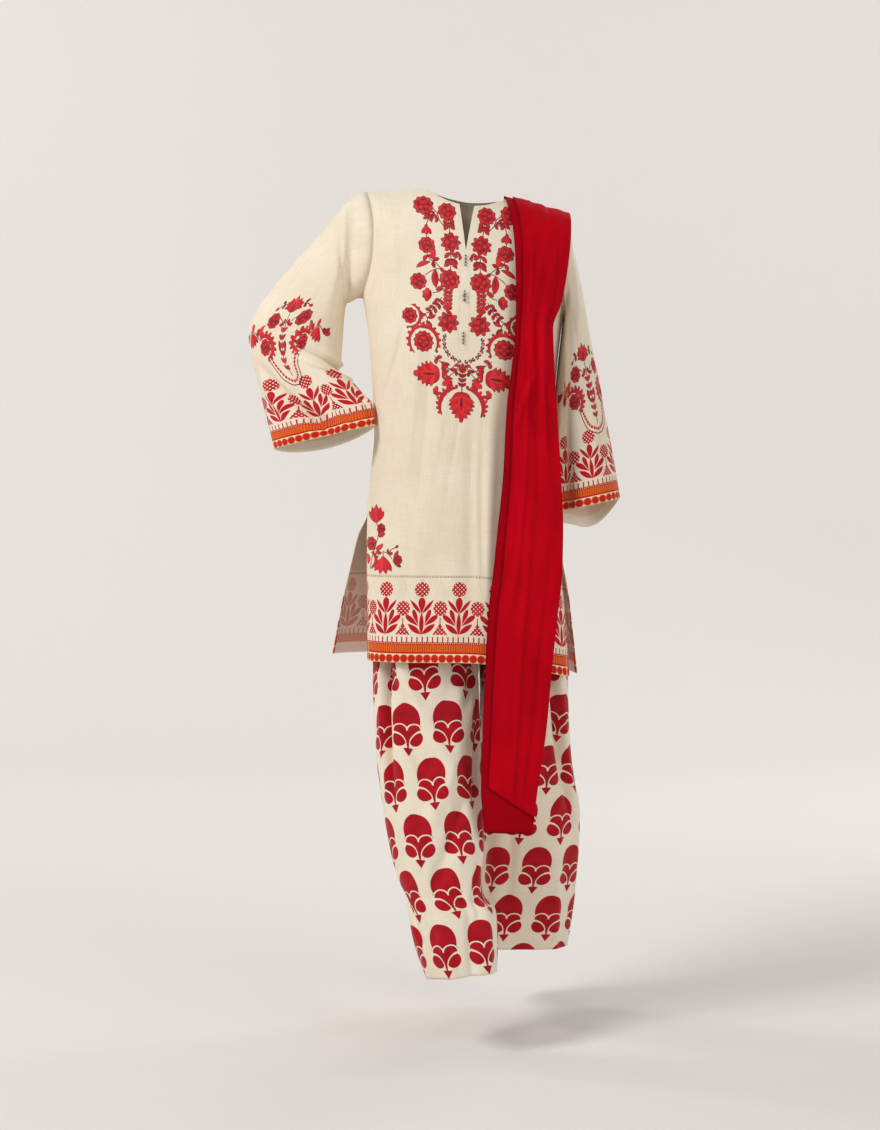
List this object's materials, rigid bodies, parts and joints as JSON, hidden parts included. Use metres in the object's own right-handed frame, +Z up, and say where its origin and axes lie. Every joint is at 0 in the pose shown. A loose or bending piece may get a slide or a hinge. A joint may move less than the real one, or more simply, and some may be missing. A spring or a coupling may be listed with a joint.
{
  "type": "salwar kameez suit",
  "caption": "Cream kameez with a red embroidered yoke and a printed border, wide printed shalwar and a plain red dupatta folded over one shoulder, hollow as worn.",
  "frame": {"origin": "middle of the neck opening, level with the neck ends of the shoulder seams", "axes": "+Z up, the suit's front towards -Y, the wearer's left towards +X"},
  "size_m": [0.6647, 0.4445, 1.3935],
  "materials": {
    "cream_cloth": "plain slubbed weave with red embroidery",
    "border_print": "printed plain weave",
    "trouser_print": "printed plain weave",
    "waistband_cloth": "plain weave",
    "red_cloth": "smooth twill",
    "bead_metal": "dull silver"
  },
  "bodies": {
    "root": {"kameez_front": "cream_cloth", "kameez_back": "cream_cloth", "kameez_front_border": "border_print", "kameez_back_border": "border_print", "sleeve_right": "cream_cloth", "sleeve_left": "cream_cloth", "shalwar_waistband": "waistband_cloth", "shalwar_leg_right": "trouser_print", "shalwar_leg_left": "trouser_print", "dupatta": "red_cloth", "button_top": "bead_metal", "button_middle": "bead_metal", "button_bottom": "bead_metal"}
  },
  "joints": []
}
